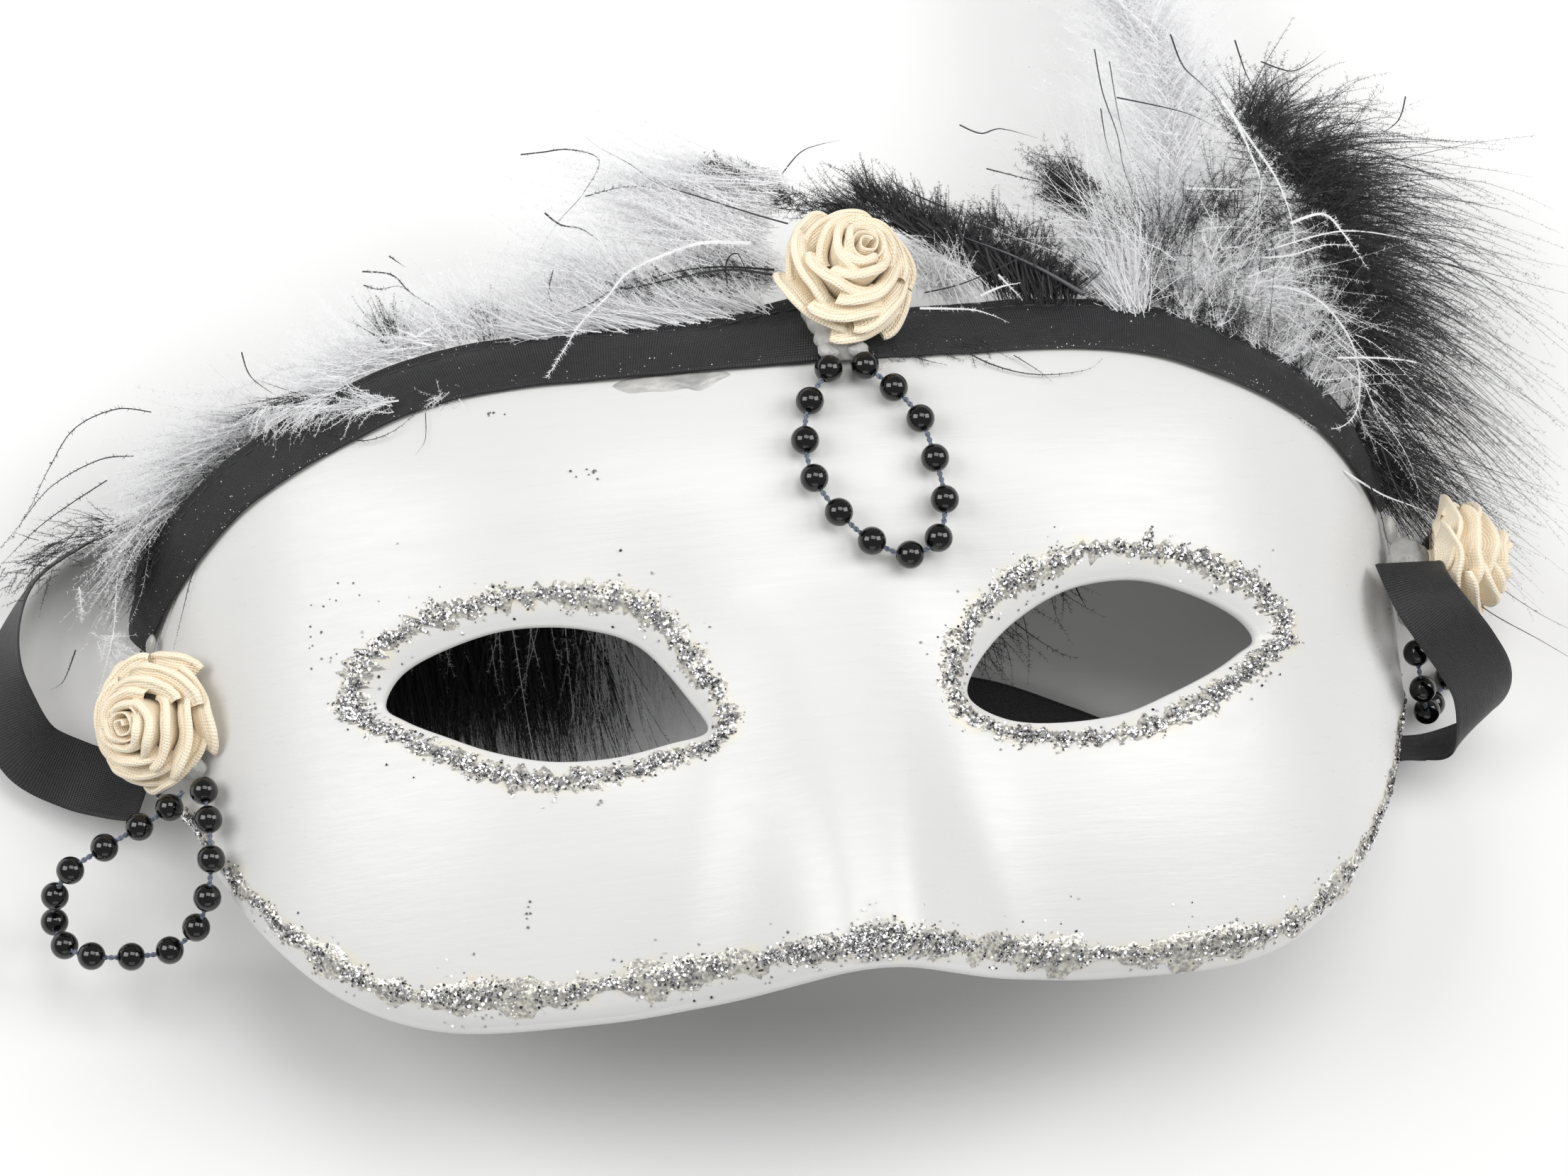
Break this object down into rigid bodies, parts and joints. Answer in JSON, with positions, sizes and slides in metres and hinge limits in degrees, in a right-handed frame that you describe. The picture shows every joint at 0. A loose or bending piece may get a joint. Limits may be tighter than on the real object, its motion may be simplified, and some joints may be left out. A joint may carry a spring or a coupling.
{
  "type": "masquerade mask",
  "caption": "Half-face masquerade mask with eye openings, glitter borders, satin trim and ties, ribbon roses, hanging bead loops and a feather crest along the forehead.",
  "frame": {"origin": "on the table, midway between the flat feet of the two temples, where the wearer's face goes", "axes": "+X towards the wearer's left, which is the picture's right; +Y up the face to the forehead; +Z out of the face, up from the table"},
  "size_m": [0.235, 0.1648, 0.0652],
  "materials": {
    "white_paint": "semi-gloss white paint with faint brush marks on a moulded shell",
    "silver_glitter": "loose metallic glitter flakes in clear glue",
    "black_satin": "satin ribbon",
    "cream_satin": "folded satin ribbon",
    "hot_glue": "translucent hot-melt glue",
    "thread": "twisted two-ply thread",
    "black_bead": "polished",
    "white_feather": "downy barbs",
    "mixed_feather": "downy barbs, black and white mixed",
    "black_feather": "downy barbs with a slight sheen"
  },
  "bodies": {
    "mask": {"mask_shell": "white_paint", "glitter_left_eye": "silver_glitter", "glitter_right_eye": "silver_glitter", "glitter_lower_edge": "silver_glitter", "trim_ribbon_left": "black_satin", "trim_ribbon_right": "black_satin", "rose_center": "cream_satin", "rose_left": "cream_satin", "rose_right": "cream_satin", "glue_center": "hot_glue", "glue_left": "hot_glue", "glue_right": "hot_glue", "tie_left": "black_satin", "tie_right": "black_satin", "feathers_left_side": "mixed_feather", "feathers_left_top": "mixed_feather", "feathers_white_center": "white_feather", "feather_black_band": "black_feather", "feathers_mixed_right": "mixed_feather", "plume_white_right": "white_feather", "feathers_black_fan": "black_feather", "feathers_right_side": "black_feather", "feathers_inside_left": "black_feather", "feathers_inside_middle": "mixed_feather"},
    "loop_center": {"thread_center": "thread", "beads_center": "black_bead"},
    "loop_left": {"thread_left": "thread", "beads_left": "black_bead"},
    "loop_right": {"thread_right": "thread", "beads_right": "black_bead"}
  },
  "joints": [
    {"name": "loop_center_swing", "type": "hinge", "parent": "mask", "child": "loop_center", "pos_m": [0.0064, 0.043, 0.0502], "axis": [-1, 0, 0], "range_deg": [0, 30]},
    {"name": "loop_left_swing", "type": "hinge", "parent": "mask", "child": "loop_left", "pos_m": [-0.08815, -0.0063, 0.0221], "axis": [-0.6608, -0.3558, -0.6608], "range_deg": [0, 18]},
    {"name": "loop_right_swing", "type": "hinge", "parent": "mask", "child": "loop_right", "pos_m": [0.09355, 0.0032, 0.0137], "axis": [-0.3015, -0.9045, 0.3015], "range_deg": [0, 25]}
  ]
}
